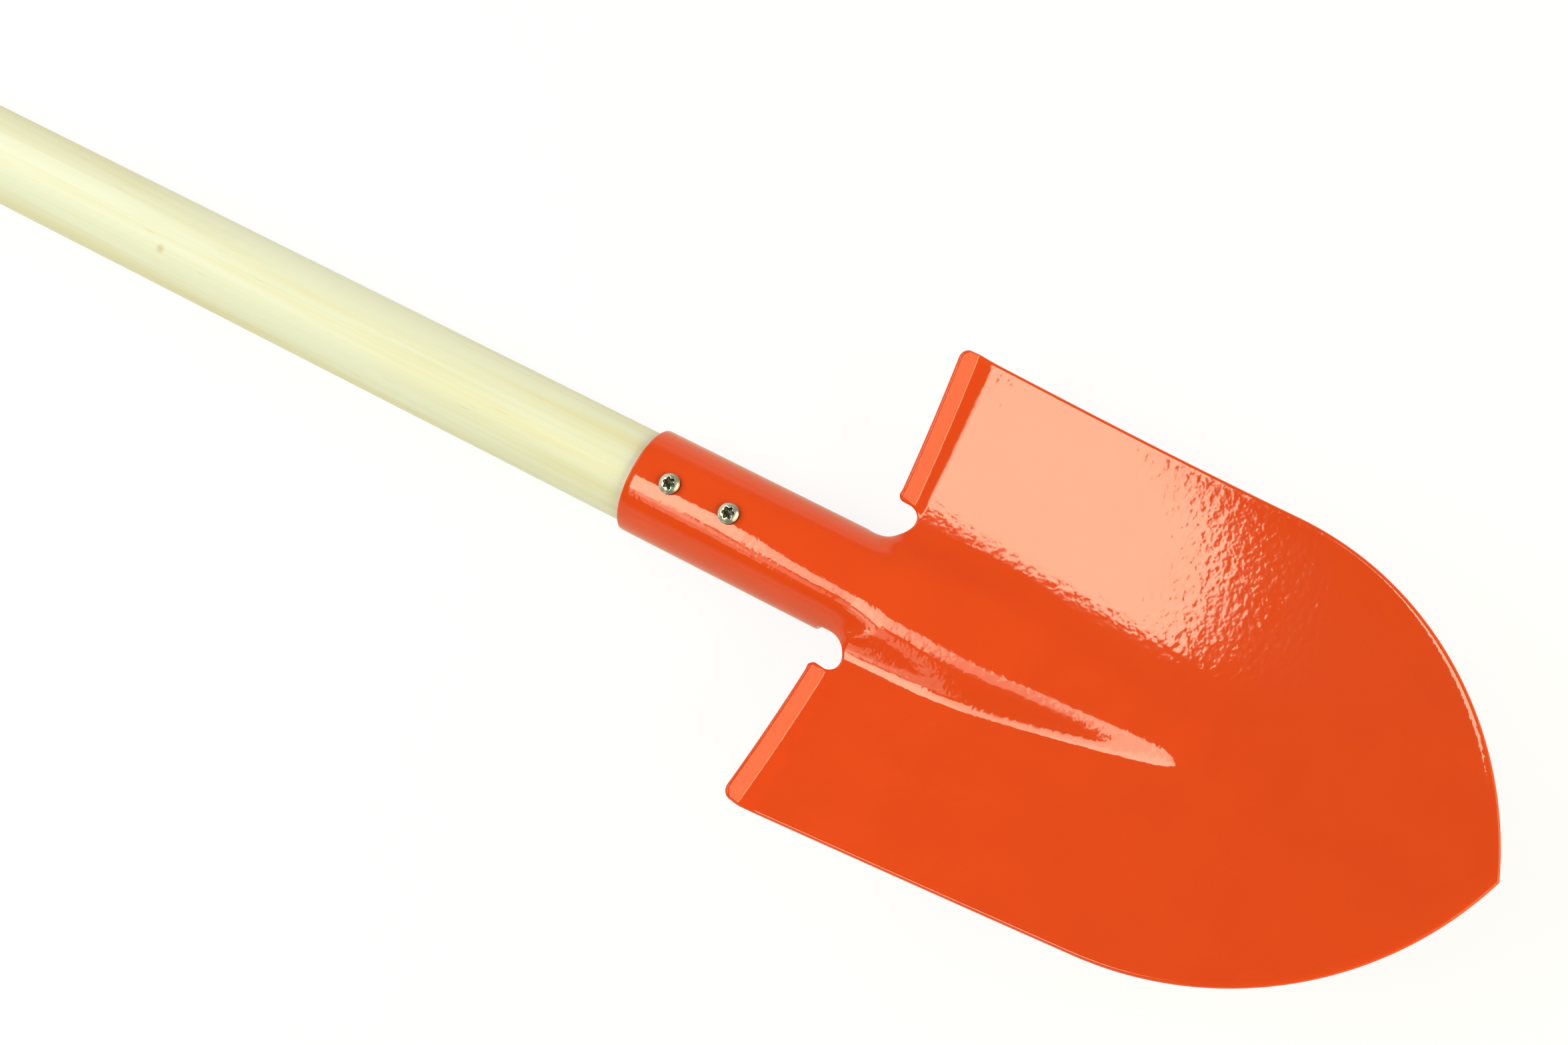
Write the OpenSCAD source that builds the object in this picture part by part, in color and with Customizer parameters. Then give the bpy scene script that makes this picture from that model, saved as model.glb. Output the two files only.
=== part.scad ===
// Round-point garden spade, children's size: a dished steel blade pressed in one
// piece with its rolled socket, a straight wooden pole and two wood screws.
// Millimetres, +Z up. The spade lies on its back along X with its face up and its
// tip at +X, symmetric about Y = 0, and the origin is the middle of its underside.

/* [Pole] */
// Diameter of the wooden pole
pole_d = 28; // [24:0.5:34]
// Length of the pole, the part inside the socket included
pole_len = 600; // [350:5:1100]
// Rounding of the edge at the free end
pole_end_r = 6; // [1:0.5:10]
// How much the pole's radius tapers off inside the socket
pole_taper = 0.6; // [0.2:0.1:1.5]
// How far the pole stops short of the end of the socket tube
pole_stop = 8; // [6:0.5:14]

/* [Sheet and socket] */
// Thickness of the steel sheet
sheet_t = 1.6; // [1.2:0.1:2.2]
// Gap between pole and socket, on the radius
socket_gap = 0.4; // [0.2:0.1:0.8]
// Length of the closed socket tube
socket_len = 68; // [56:1:90]
// Width of the open seam along the back of the socket
seam_w = 2; // [1:0.2:4]

/* [Blade] */
// From the end of the socket tube to the bend line of the treads
neck_len = 9.6; // [8:0.2:14]
// From the bend line of the treads to the tip
blade_len = 181; // [160:1:220]
// Width across the shoulders
blade_w = 140.4; // [124:0.2:170]
// How much each side closes in towards the tip, in degrees
side_taper = 3.9; // [1:0.1:6]
// Radius of the two arcs that meet at the tip
nose_r = 96; // [84:1:120]
// Height of the blade's face over the pole's axis, at the bend line
heel_rise = 7.4; // [5:0.1:9]
// Slope of the face's middle line at the heel, in degrees
heel_slope = 4.4; // [2:0.1:8]
// Slope of the face's middle line at the tip, in degrees
tip_slope = 21.2; // [14:0.1:26]
// Radius of the dish across the heel
heel_dish_r = 168; // [140:1:230]
// Radius of the dish across the tip
tip_dish_r = 117; // [100:1:170]

/* [Ridge] */
// From the bend line of the treads to the end of the ridge
ridge_len = 111; // [80:1:130]
// How far past the bend line the ridge keeps its full width
ridge_straight = 34; // [10:1:45]
// Height of the ridge over the face, at the bend line
ridge_h = 8; // [6:0.1:10]
// From the side of the socket out to the foot of the ridge
ridge_out = 6.3; // [4.5:0.1:8]
// From the middle of the ridge to its foot, at the ridge's end
ridge_end_half_w = 8.2; // [6:0.1:12]

/* [Treads] */
// How far the bend line of a tread runs back towards the pole at the shoulder
heel_sweep = 1.2; // [0:0.1:4]
// Angle that the face curls up before the bend line, in degrees
curl_angle = 22; // [5:1:30]
// Width of that curl at the inner end of a tread
curl_w = 2.2; // [1.5:0.1:5]
// Width of that curl at the shoulder
curl_end_w = 5; // [2:0.1:8]
// Angle that the bend turns the tread up further, in degrees
tread_angle = 22; // [10:1:50]
// Inside radius of the bend
tread_bend_r = 4; // [2:0.1:6]
// Width of the flat of the tread past the bend
tread_flat = 4.5; // [3.4:0.1:8]
// Rounding of the outer corner of a tread
tread_corner_r = 3; // [1:0.1:3.4]
// Rounding of the inner corner of a tread
tread_inner_r = 1.5; // [0.5:0.1:3]

/* [Relief notches] */
// Radius of the round end of a notch
notch_r = 3.3; // [2.8:0.1:4]
// From the side of the socket to the middle of that round end
notch_out = 6.5; // [5:0.1:9]
// From the bend line back to the middle of that round end
notch_back = 2.2; // [1.6:0.1:2.6]
// How far the side of the neck runs straight past the socket tube
notch_start = 2; // [1:0.1:3]

/* [Screws] */
// From the mouth of the socket to the upper screw
screw_inset = 12.5; // [8:0.5:16]
// Distance between the two screws
screw_pitch = 19.5; // [14:0.5:26]
// Diameter of the screw's shank
screw_d = 3; // [2.5:0.1:4]
// Length of the screw under its head
screw_len = 16; // [12:0.5:22]
// Length of the screw's point
screw_point = 4; // [2:0.5:6]
// Diameter of the pan head
head_d = 6.2; // [5.6:0.1:8]
// Height of the pan head
head_h = 2.2; // [1.8:0.1:3]
// Radius of the crown of the pan head
head_crown_r = 4.7; // [4.2:0.1:8]
// Width across the six-lobe recess
recess_w = 2.9; // [2:0.1:3.4]
// Depth of the recess
recess_depth = 1.2; // [0.6:0.1:1.5]
// Play of a screw in the sheet, on the diameter
hole_play = 0.4; // [0.2:0.1:1]
// Play of a screw in its pilot hole in the wood, on the diameter
pilot_play = 0.1; // [0.05:0.05:0.3]

/* [Hidden] */
$fn = 64;

ENAMEL = [0.90, 0.30, 0.12];
WOOD = [0.94, 0.93, 0.75];
ZINC = [0.78, 0.78, 0.74];

// Places along the pole's axis, from the mouth of the socket
pole_r = pole_d / 2;
bore_r = pole_r + socket_gap;
socket_r = bore_r + sheet_t;
bend_x = socket_len + neck_len;
tip_x = bend_x + blade_len;
pole_end_x = socket_len - pole_stop;
free_end_x = pole_end_x - pole_len;
half_w = blade_w / 2;
screw_places = [screw_inset, screw_inset + screw_pitch];

function clamp(t) = min(max(t, 0), 1);
function mix(a, b, t) = a + (b - a) * t;
function ease(t) = let (c = clamp(t)) c * c * (3 - 2 * c);
function unit(v) = v / norm(v);

// Outline: a straight side runs from the shoulder for side_run, where the nose arc
// starts without a corner. The arc's middle is at nose_at, and it ends at the tip.
nose_reach = blade_len + nose_r * sin(side_taper);
nose_drop = half_w - nose_r * cos(side_taper);
nose_along = nose_reach * cos(side_taper) + nose_drop * sin(side_taper);
side_run = nose_along - sqrt(nose_along ^ 2 - nose_reach ^ 2 - nose_drop ^ 2 + nose_r ^ 2);
nose_at = [tip_x - nose_reach + side_run * cos(side_taper), nose_drop - side_run * sin(side_taper)];
side_end_x = bend_x + side_run * cos(side_taper);
tip_angle = asin((tip_x - nose_at.x) / nose_r);

function outline_y(x) =
    x < side_end_x ? half_w - (x - bend_x) * tan(side_taper)
                   : nose_at.y + sqrt(max(nose_r ^ 2 - (x - nose_at.x) ^ 2, 0));

// Face of the blade: a middle line that steepens to the tip, a dish across it and a
// ridge that carries the crown of the socket on and dies out before the tip. It falls by a
// power of the length left, and over the last ridge_nose of its length it is rounded off.
ridge_fall = 0.82;
ridge_nose = 0.12;
ridge_round = 1.47;
ridge_half_w = socket_r + ridge_out;
function along(x) = (x - bend_x) / blade_len;
function middle_z(x) =
    let (t = along(x), c = clamp(t), turn = tan(tip_slope) - tan(heel_slope))
    heel_rise + blade_len * (tan(heel_slope) * t + turn * (c ^ 3 - c ^ 4 / 2));
function dish_z(x, y) =
    let (t = clamp(along(x)))
    y * y / 2 / mix(heel_dish_r, tip_dish_r, t * (2 - t));
function ridge_z(x, y) =
    let (
        to_end = 1 - clamp((x - bend_x) / ridge_len),
        h = ridge_h * to_end ^ ridge_fall * ease(to_end / ridge_nose),
        narrow = clamp((x - bend_x - ridge_straight) / (ridge_len - ridge_straight)),
        down = clamp(abs(y) / mix(ridge_half_w, ridge_end_half_w, narrow))
    )
    h * (1 + cos(180 * down ^ ridge_round)) / 2;

// Heel of the face: the bend lines of the two treads sweep back from the notches to the
// shoulders, and beside the notches, over curl_fade, the face starts to curl up to them
curl_fade = 5;
notch_at = [bend_x - notch_back, socket_r + notch_out];
arc_span = acos(notch_back / notch_r);
arc_end_y = notch_at.y + notch_r * sin(arc_span);
function along_tread(y) = clamp((abs(y) - arc_end_y) / (half_w - arc_end_y));
function heel_x(y) = bend_x - heel_sweep * along_tread(y);
function curl_z(x, y) =
    let (
        w = mix(curl_w, curl_end_w, along_tread(y)),
        over = max(heel_x(y) + w - x, 0)
    )
    ease((abs(y) - notch_at.y) / curl_fade) * tan(curl_angle) * over ^ 2 / 2 / w;
function face_z(x, y) = middle_z(x) + dish_z(x, y) + ridge_z(x, y) + curl_z(x, y);

// Neck: the crown of the tube runs on past the tube's end and passes into the face over
// crown_fade, and over the width of a notch at each side. Beside the crown it bends out
// within toe_run. It starts inside the wall of the tube, tongue_sink under its surface.
tongue_overlap = 6;
tongue_sink = 0.25;
tongue_span = 75;
toe_run = 2;
crown_fade = 19.6;
tongue_r = socket_r - tongue_sink;
tongue_edge_y = tongue_r * sin(tongue_span);
function crown_z(y) =
    let (on = min(abs(y), tongue_edge_y), out = clamp((abs(y) - on) / toe_run))
    sqrt(tongue_r ^ 2 - on ^ 2) - tan(tongue_span) * toe_run * (out - out ^ 2 / 2);
function crown_left(x, y) =
    (1 - ease((x - socket_len) / crown_fade))
        * (1 - ease((abs(y) - tongue_edge_y) / (notch_at.y - tongue_edge_y)));
function sheet_z(x, y) = mix(face_z(x, y), crown_z(y), crown_left(x, y));

probe = 0.2;
function sheet_normal(x, y) =
    let (
        dx = (sheet_z(x + probe, y) - sheet_z(x - probe, y)) / (2 * probe),
        dy = (sheet_z(x, y + probe) - sheet_z(x, y - probe)) / (2 * probe)
    )
    unit([-dx, -dy, 1]);

// The sheet is thinner where it runs inside the wall of the tube
function thickness(x) = sheet_t - 2 * tongue_sink * (1 - ease((x - socket_len) / tongue_overlap));
function on_front(x, y) = [x, y, sheet_z(x, y)];
function behind(p) = p - thickness(p.x) * sheet_normal(p.x, p.y);

// Rows of the neck run from the far side of the notches back into the wall of the tube,
// and lines from side to side. A share is 0 at the crown and 1 at the free edge, which is
// straight beside the tube and then a quarter of an ellipse round the notch.
flare_power = 4;
neck_n = 10;
edge_rows = 6;
wall_rows = 2;
neck_rows = edge_rows + wall_rows;
notch_in_x = socket_len + notch_start;
notch_far_x = notch_at.x + notch_r;
notch_run = notch_far_x - notch_in_x;
function neck_x(r) =
    r <= edge_rows ? notch_in_x + notch_run * cos(90 * r / edge_rows)
                   : mix(notch_in_x, socket_len - tongue_overlap, (r - edge_rows) / wall_rows);
function neck_flare(r) =
    r <= edge_rows ? (notch_at.y - tongue_edge_y) * (1 - sin(90 * r / edge_rows)) : 0;
function neck_y(r, share) =
    tongue_r * sin(tongue_span * share) + neck_flare(r) * sign(share) * abs(share) ^ flare_power;
neck_front = [for (r = [0:neck_rows]) [for (k = [-neck_n:neck_n])
    on_front(neck_x(r), neck_y(r, k / neck_n))]];
neck_back = [for (row = neck_front) [for (p = row) behind(p)]];

// Heel edge of the blade, as the start points of lines that fan out to the nose. Seen
// from the middle, it is the end of the neck, the arc of the notch and the bend line.
arc_n = 3;
tread_n = 9;
half_heel = concat(
    [for (k = [0:neck_n]) [notch_far_x, neck_y(0, k / neck_n)]],
    [for (k = [1:arc_n - 1]) notch_at + notch_r * [cos(arc_span * k / arc_n), sin(arc_span * k / arc_n)]],
    [for (k = [0:tread_n]) let (y = mix(arc_end_y, half_w, k / tread_n)) [heel_x(y), y]]
);
half_n = len(half_heel) - 1;
last_line = 2 * half_n;
first_neck_line = half_n - neck_n;
first_tread_line = last_line - tread_n;
heel = [for (j = [-half_n:half_n])
    let (p = half_heel[abs(j)])
    [p.x, j < 0 ? -p.y : p.y]];

// Front and back of the blade: rows from heel to nose, each line ending on the nose arc,
// with the outer lines bowed out to the straight sides
rows = 32;
row_crowding = 1.35;
corner_share = 0.2;
bow_power = 6;
corner_angle = mix(side_taper, tip_angle, corner_share);
function nose_end(share) =
    let (a = mix(tip_angle, corner_angle, abs(share)), s = share < 0 ? -1 : 1)
    [nose_at.x + nose_r * sin(a), s * (nose_at.y + nose_r * cos(a))];
corner = nose_end(1);
function side_bow(t) = outline_y(mix(bend_x, corner.x, t)) - mix(half_w, corner.y, t);
function front_point(start, t) =
    let (
        share = start.y / half_w,
        end = nose_end(share),
        side = share < 0 ? -1 : 1,
        x = mix(start.x, end.x, t),
        y = mix(start.y, end.y, t) + side * abs(share) ^ bow_power * side_bow(t)
    )
    on_front(x, y);
front = [for (i = [0:rows])
    let (t = (i / rows) ^ row_crowding)
    [for (start = heel) front_point(start, t)]];
back = [for (row = front) [for (p = row) behind(p)]];

// Treads: the sheet past the bend line, turned up over a bend and then flat. Rows run
// from the bend line to the tread's edge, and lines run towards +Y.
bend_rows = 5;
flat_rows = 5;
tread_rows = bend_rows + flat_rows;
bend_run = tread_bend_r * tread_angle * PI / 180;
tread_run = bend_run + tread_flat;
function tread_s(r) =
    r <= bend_rows ? bend_run * r / bend_rows
                   : bend_run + tread_flat * sin(90 * (r - bend_rows) / flat_rows);
function rounded(s, radius) =
    let (over = max(s - tread_run + radius, 0))
    radius - sqrt(max(radius ^ 2 - over ^ 2, 0));
function tread_inner_y(s) =
    let (d = min(s - notch_back, 0))
    notch_at.y + sqrt(notch_r ^ 2 - d ^ 2) + rounded(s, tread_inner_r);
function tread_outer_y(s) = half_w - rounded(s, tread_corner_r);
function tread_frame(s, y) =
    let (
        x = heel_x(y),
        up = sheet_normal(x, y),
        out = unit(cross([0, -1, 0], up)),
        base = on_front(x, y),
        turn = min(s, bend_run) / tread_bend_r * 180 / PI,
        flat = max(s - bend_run, 0),
        ahead = out * cos(turn) + up * sin(turn)
    )
    [base + tread_bend_r * (out * sin(turn) + up * (1 - cos(turn))) + flat * ahead,
     up * cos(turn) - out * sin(turn)];
function tread_point(side, r, k, depth) =
    let (
        s = tread_s(r),
        share = side > 0 ? k / tread_n : 1 - k / tread_n,
        frame = tread_frame(s, side * mix(tread_inner_y(s), tread_outer_y(s), share))
    )
    frame[0] - depth * frame[1];
function tread_grid(side, depth) =
    [for (r = [0:tread_rows]) [for (k = [0:tread_n]) tread_point(side, r, k, depth)]];

// The sheet as one closed mesh. The blade's grid comes first. The neck and the two
// treads are flaps: grids whose row 0 is a stretch of the blade's heel edge. A flap is
// [first line on the heel edge, number of spaces between its lines, number of rows].
line_n = last_line + 1;
layer = (rows + 1) * line_n;
flaps = [
    [first_neck_line, 2 * neck_n, neck_rows],
    [first_tread_line, tread_n, tread_rows],
    [0, tread_n, tread_rows]
];
function later_rows(grid) = [for (r = [1:len(grid) - 1]) each grid[r]];
function flap_size(f) = flaps[f][2] * (flaps[f][1] + 1);
function flap_start(f) = f == 0 ? 2 * layer : flap_start(f - 1) + 2 * flap_size(f - 1);
sheet_points = concat(
    [for (row = front) each row], [for (row = back) each row],
    later_rows(neck_front), later_rows(neck_back),
    later_rows(tread_grid(1, 0)), later_rows(tread_grid(1, sheet_t)),
    later_rows(tread_grid(-1, 0)), later_rows(tread_grid(-1, sheet_t))
);
function blade_id(i, j, deep) = deep * layer + i * line_n + j;
function flap_id(f, r, k, deep) =
    r == 0 ? blade_id(0, flaps[f][0] + k, deep)
           : flap_start(f) + deep * flap_size(f) + (r - 1) * (flaps[f][1] + 1) + k;

// Two triangles for each space of a grid, turned over on the back face, and two for
// each step of a wall between front and back along a free edge
function flip(face, on) = on == 1 ? [for (m = [len(face) - 1:-1:0]) face[m]] : face;
function quad(a, b, c, d) = [[a, b, c], [a, c, d]];
function wall(a, b, a_deep, b_deep) = quad(b, a, a_deep, b_deep);
function blade_wall(i, j, next_i, next_j) =
    wall(blade_id(i, j, 0), blade_id(next_i, next_j, 0), blade_id(i, j, 1), blade_id(next_i, next_j, 1));
function flap_wall(f, r, k, next_r, next_k) =
    wall(flap_id(f, r, k, 0), flap_id(f, next_r, next_k, 0),
         flap_id(f, r, k, 1), flap_id(f, next_r, next_k, 1));

blade_faces = [for (deep = [0, 1], i = [0:rows - 1], j = [0:last_line - 1])
    let (
        a = blade_id(i, j, deep),
        b = blade_id(i, j + 1, deep),
        c = blade_id(i + 1, j + 1, deep),
        d = blade_id(i + 1, j, deep)
    )
    each [for (f = j < half_n ? quad(b, c, d, a) : quad(a, b, c, d)) flip(f, deep)]];
flap_faces = [for (f = [0:2], deep = [0, 1], r = [0:flaps[f][2] - 1], k = [0:flaps[f][1] - 1])
    let (
        a = flap_id(f, r, k, deep),
        b = flap_id(f, r + 1, k, deep),
        c = flap_id(f, r + 1, k + 1, deep),
        d = flap_id(f, r, k + 1, deep)
    )
    each [for (t = quad(a, b, c, d)) flip(t, deep)]];
notch_walls = [for (side = [-1, 1], k = [neck_n:neck_n + arc_n - 1])
    let (j = half_n + (side < 0 ? -k - 1 : k))
    each blade_wall(0, j, 0, j + 1)];
nose_walls = [for (j = [0:last_line - 1]) each blade_wall(rows, j + 1, rows, j)];
side_walls = [for (i = [0:rows - 1])
    each concat(blade_wall(i + 1, 0, i, 0), blade_wall(i, last_line, i + 1, last_line))];
flap_side_walls = [for (f = [0:2], r = [0:flaps[f][2] - 1])
    each concat(flap_wall(f, r, 0, r + 1, 0), flap_wall(f, r + 1, flaps[f][1], r, flaps[f][1]))];
flap_end_walls = [for (f = [0:2], k = [0:flaps[f][1] - 1])
    each flap_wall(f, flaps[f][2], k, flaps[f][2], k + 1)];

// Origin: half way between the free end and the furthest point of the tip, on the floor
reach_x = max([for (row = back) row[half_n].x]);
module placed() {
    translate([-(free_end_x + reach_x) / 2, 0, socket_r])
        children();
}

// A round bar along the axis of the pole
module bar(from_x, to_x, r) {
    translate([from_x, 0, 0])
        rotate([0, 90, 0])
            cylinder(r = r, h = to_x - from_x);
}

// A hole for a screw, from the depth given up through the crown of the socket
module screw_hole(x, d, from_z) {
    translate([x, 0, from_z])
        cylinder(d = d, h = socket_r + sheet_t - from_z);
}

// Rolled socket: a tube, open along its back, with two screw holes in its crown
module socket() {
    difference() {
        bar(0, socket_len, socket_r);
        bar(-sheet_t, socket_len + sheet_t, bore_r);
        translate([-sheet_t, -seam_w / 2, -socket_r - sheet_t])
            cube([socket_len + 2 * sheet_t, seam_w, socket_r]);
        for (x = screw_places)
            screw_hole(x, screw_d + hole_play, 0);
    }
}

// Pressed sheet: neck, ridge, dished blade and treads
module sheet() {
    polyhedron(
        points = sheet_points,
        faces = concat(blade_faces, flap_faces, notch_walls, nose_walls, side_walls,
                       flap_side_walls, flap_end_walls)
    );
}

module blade() {
    color(ENAMEL)
        placed() {
            socket();
            sheet();
        }
}

// Straight pole: tapered and square at the end in the socket, rounded at the free end
module handle() {
    color(WOOD)
        placed()
            difference() {
                translate([pole_end_x, 0, 0])
                    rotate([0, -90, 0])
                        rotate_extrude() {
                            polygon([
                                [0, 0],
                                [pole_r - pole_taper, 0],
                                [pole_r, pole_end_x],
                                [pole_r, pole_len - pole_end_r],
                                [0, pole_len - pole_end_r]
                            ]);
                            square([pole_r - pole_end_r, pole_len]);
                            translate([pole_r - pole_end_r, pole_len - pole_end_r])
                                circle(r = pole_end_r);
                        }
                for (x = screw_places)
                    screw_hole(x, screw_d + pilot_play, socket_r - screw_len - pilot_play);
            }
}

// Six-lobe recess: a core circle and six round lobes
recess_core_w = 0.72 * recess_w;
lobe_w = 0.3 * recess_w;
module recess() {
    translate([0, 0, head_h - recess_depth])
        linear_extrude(head_h) {
            circle(d = recess_core_w);
            for (a = [0:60:300])
                rotate(a)
                    translate([(recess_w - lobe_w) / 2, 0])
                        circle(d = lobe_w);
        }
}

// Pan-head wood screw, seated on the crown of the socket
module screw(x) {
    color(ZINC)
        placed()
            translate([x, 0, socket_r]) {
                difference() {
                    intersection() {
                        cylinder(d = head_d, h = head_h);
                        translate([0, 0, head_h - head_crown_r])
                            sphere(r = head_crown_r);
                    }
                    recess();
                }
                translate([0, 0, screw_point - screw_len])
                    cylinder(d = screw_d, h = screw_len - screw_point);
                translate([0, 0, -screw_len])
                    cylinder(d1 = 0, d2 = screw_d, h = screw_point);
            }
}

module upper_screw() { screw(screw_places[0]); }

module lower_screw() { screw(screw_places[1]); }

blade();
handle();
upper_screw();
lower_screw();
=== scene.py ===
import math

import bmesh
import bpy
import numpy as np
from mathutils import Matrix, Vector


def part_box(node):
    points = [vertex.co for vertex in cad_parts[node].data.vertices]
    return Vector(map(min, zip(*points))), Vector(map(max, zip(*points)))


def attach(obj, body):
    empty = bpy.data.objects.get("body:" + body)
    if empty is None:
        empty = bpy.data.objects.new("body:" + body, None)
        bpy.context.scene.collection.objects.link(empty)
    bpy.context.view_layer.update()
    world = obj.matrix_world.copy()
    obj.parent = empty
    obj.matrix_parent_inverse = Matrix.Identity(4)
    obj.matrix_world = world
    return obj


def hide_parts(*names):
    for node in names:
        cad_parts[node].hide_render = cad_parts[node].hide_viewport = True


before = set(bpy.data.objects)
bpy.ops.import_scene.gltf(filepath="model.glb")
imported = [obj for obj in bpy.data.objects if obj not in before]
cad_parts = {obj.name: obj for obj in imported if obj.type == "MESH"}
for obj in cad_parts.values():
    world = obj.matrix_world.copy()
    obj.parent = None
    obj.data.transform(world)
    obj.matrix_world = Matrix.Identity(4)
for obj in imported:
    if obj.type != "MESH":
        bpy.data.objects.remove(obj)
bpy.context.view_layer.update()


# Pole: one straight turned pole of pale, straight-grained hardwood, sanded and clear
# lacquered. Its end is turned a little smaller and driven into the blade's socket, and the
# free end is rounded over.
pole_low, pole_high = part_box("handle")
blade_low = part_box("blade")[0]
pole_r = (pole_high.y - pole_low.y) / 2
axis_z = (pole_high.z + pole_low.z) / 2
mouth_x = blade_low.x
pole_end_round = 0.006
pole_seat_taper = 0.0006
pole_rings = 130
pole_sides = 96


def feed(tree, socket, value):
    """Link an output socket to this socket, or set a plain value on it."""
    if isinstance(value, bpy.types.NodeSocket):
        tree.links.new(value, socket)
    else:
        socket.default_value = value


def add_node(tree, kind, inputs=None, **settings):
    """A new node with its settings made and its named inputs linked or set."""
    made = tree.nodes.new(kind)
    for name, value in settings.items():
        setattr(made, name, value)
    for name, value in (inputs or {}).items():
        feed(tree, made.inputs[name], value)
    return made


def work_out(tree, operation, *values):
    """The output of a Math node."""
    made = add_node(tree, "ShaderNodeMath", operation=operation)
    for socket, value in zip(made.inputs, values):
        feed(tree, socket, value)
    return made.outputs[0]


def start_tree(name, lengths, counts):
    """A Geometry Nodes tree with named inputs, and its input and output nodes."""
    tree = bpy.data.node_groups.new(name, "GeometryNodeTree")
    tree.interface.new_socket("Geometry", in_out="INPUT", socket_type="NodeSocketGeometry")
    tree.interface.new_socket("Geometry", in_out="OUTPUT", socket_type="NodeSocketGeometry")
    for kind, names in (("NodeSocketFloat", lengths), ("NodeSocketInt", counts)):
        for size in names:
            tree.interface.new_socket(size, in_out="INPUT", socket_type=kind)
    tree.interface.new_socket("Finish", in_out="INPUT", socket_type="NodeSocketMaterial")
    return tree, tree.nodes.new("NodeGroupInput").outputs, tree.nodes.new("NodeGroupOutput").inputs


def grow(name, mesh, tree, sizes):
    """Run a tree on a mesh with these sizes, and keep the result as a plain mesh object."""
    start = bpy.data.objects.new(name + "_start", mesh)
    bpy.context.collection.objects.link(start)
    modifier = start.modifiers.new(tree.name, "NODES")
    modifier.node_group = tree
    for item in tree.interface.items_tree:
        if item.in_out == "INPUT" and item.name in sizes:
            modifier[item.identifier] = sizes[item.name]
    return keep_result(name, start)


def keep_result(name, start):
    """Replace an object that has live modifiers by a plain mesh object."""
    evaluated = start.evaluated_get(bpy.context.evaluated_depsgraph_get())
    mesh = bpy.data.meshes.new_from_object(evaluated)
    start_mesh = start.data
    bpy.data.objects.remove(start)
    bpy.data.meshes.remove(start_mesh)
    mesh.name = name
    piece = bpy.data.objects.new(name, mesh)
    bpy.context.collection.objects.link(piece)
    return piece


pole_tree, size_in, out = start_tree(
    "turned_pole",
    ("Length", "Radius", "End rounding", "Seat length", "Seat taper", "Free end", "Axis height"),
    ("Rings", "Sides"),
)
line = add_node(pole_tree, "GeometryNodeCurvePrimitiveLine")
rings = add_node(pole_tree, "GeometryNodeResampleCurve", {
    "Curve": line.outputs[0],
    "Count": size_in["Rings"],
})
factor = add_node(pole_tree, "GeometryNodeSplineParameter").outputs["Factor"]
crowded = work_out(pole_tree, "MULTIPLY", factor, factor)
ring_place = work_out(pole_tree, "MULTIPLY", size_in["Length"], crowded)
place = add_node(pole_tree, "ShaderNodeCombineXYZ", {
    "X": work_out(pole_tree, "ADD", size_in["Free end"], ring_place),
    "Z": size_in["Axis height"],
})
axis = add_node(pole_tree, "GeometryNodeSetPosition", {
    "Geometry": rings.outputs[0],
    "Position": place.outputs[0],
})
placed_at = add_node(pole_tree, "GeometryNodeInputPosition").outputs[0]
placed_x = add_node(pole_tree, "ShaderNodeSeparateXYZ", {"Vector": placed_at}).outputs["X"]
from_end = work_out(pole_tree, "SUBTRACT", placed_x, size_in["Free end"])
short_of_side = work_out(pole_tree, "SUBTRACT", size_in["End rounding"], from_end)
to_round = work_out(pole_tree, "MAXIMUM", short_of_side, 0)
round_square = work_out(
    pole_tree, "SUBTRACT",
    work_out(pole_tree, "POWER", size_in["End rounding"], 2),
    work_out(pole_tree, "POWER", to_round, 2),
)
round_height = work_out(pole_tree, "SQRT", round_square)
round_cut = work_out(pole_tree, "SUBTRACT", size_in["End rounding"], round_height)
seat_start = work_out(pole_tree, "SUBTRACT", size_in["Length"], size_in["Seat length"])
past_mouth = work_out(pole_tree, "SUBTRACT", from_end, seat_start)
in_seat = work_out(pole_tree, "MAXIMUM", past_mouth, 0)
seat_share = work_out(pole_tree, "DIVIDE", in_seat, size_in["Seat length"])
seat_cut = work_out(pole_tree, "MULTIPLY", size_in["Seat taper"], seat_share)
rounded_r = work_out(pole_tree, "SUBTRACT", size_in["Radius"], round_cut)
ring_r = work_out(pole_tree, "SUBTRACT", rounded_r, seat_cut)
circle = add_node(pole_tree, "GeometryNodeCurvePrimitiveCircle", {
    "Resolution": size_in["Sides"],
    "Radius": 1.0,
})
turned = add_node(pole_tree, "GeometryNodeCurveToMesh", {
    "Curve": axis.outputs[0],
    "Profile Curve": circle.outputs[0],
    "Scale": ring_r,
    "Fill Caps": True,
})
realized = add_node(pole_tree, "GeometryNodeRealizeInstances", {"Geometry": turned.outputs[0]})
finished = add_node(pole_tree, "GeometryNodeSetMaterial", {
    "Geometry": realized.outputs[0],
    "Material": size_in["Finish"],
})
feed(pole_tree, out[0], finished.outputs[0])


def new_finish(name):
    """A material, its node tree, its shader and the Object coordinates to paint by."""
    finish = bpy.data.materials.new(name)
    finish.use_nodes = True
    tree = finish.node_tree
    shader = tree.nodes["Principled BSDF"]
    place = tree.nodes.new("ShaderNodeTexCoord").outputs["Object"]
    return finish, tree, shader, place


def noise_at(tree, place, stretch, scale, detail):
    """Noise on coordinates that are first scaled along each axis."""
    mapped = add_node(tree, "ShaderNodeMapping", {"Vector": place, "Scale": stretch})
    noise = add_node(tree, "ShaderNodeTexNoise", {
        "Vector": mapped.outputs[0],
        "Scale": scale,
        "Detail": detail,
    })
    return noise.outputs["Fac"]


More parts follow.
